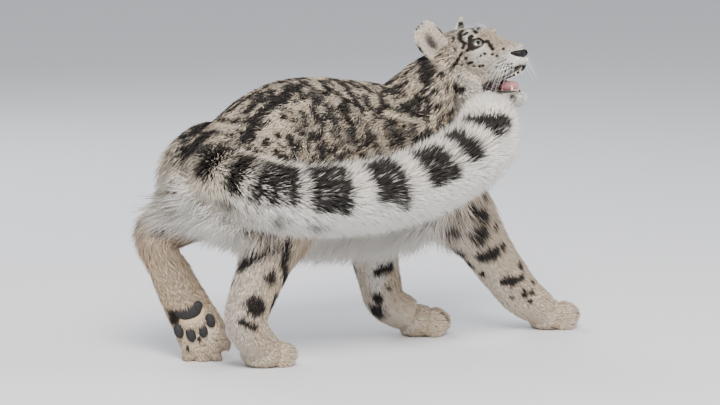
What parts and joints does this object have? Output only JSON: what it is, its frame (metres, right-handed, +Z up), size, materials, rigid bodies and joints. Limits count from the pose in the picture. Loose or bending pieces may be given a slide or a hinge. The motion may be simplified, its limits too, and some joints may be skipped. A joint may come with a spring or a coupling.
{
  "type": "snow leopard",
  "caption": "Life-size snow leopard, standing in mid-step and looking back over its right side with an open mouth, its long thick tail swept forward along the flank.",
  "frame": {"origin": "on the floor, under the middle of the box around the whole animal", "axes": "+X along the trunk from tail root to chest, +Y to the animal's left, +Z up"},
  "size_m": [1.0742, 0.5836, 0.7033],
  "materials": {
    "coat": "long pale smoky-buff fur with dark broken rosettes and spots, white underneath",
    "eye": "wet, clear front over a pale grey-green iris and a dark pupil",
    "nose_leather": "fine-grained black nose leather, slightly damp",
    "tongue": "moist pink, rough on top"
  },
  "bodies": {
    "root": {"torso": "coat", "neck": "coat", "head": "coat", "ear_left": "coat", "ear_right": "coat", "foreleg_left": "coat", "foreleg_right": "coat", "forepaw_left": "coat", "forepaw_right": "coat", "hindleg_left": "coat", "hindleg_right": "coat", "hindpaw_left": "coat", "hindpaw_right": "coat", "tail_1": "coat", "tail_2": "coat", "tail_3": "coat", "tail_4": "coat", "eye_left": "eye", "eye_right": "eye", "nose": "nose_leather", "tongue": "tongue"}
  },
  "joints": []
}
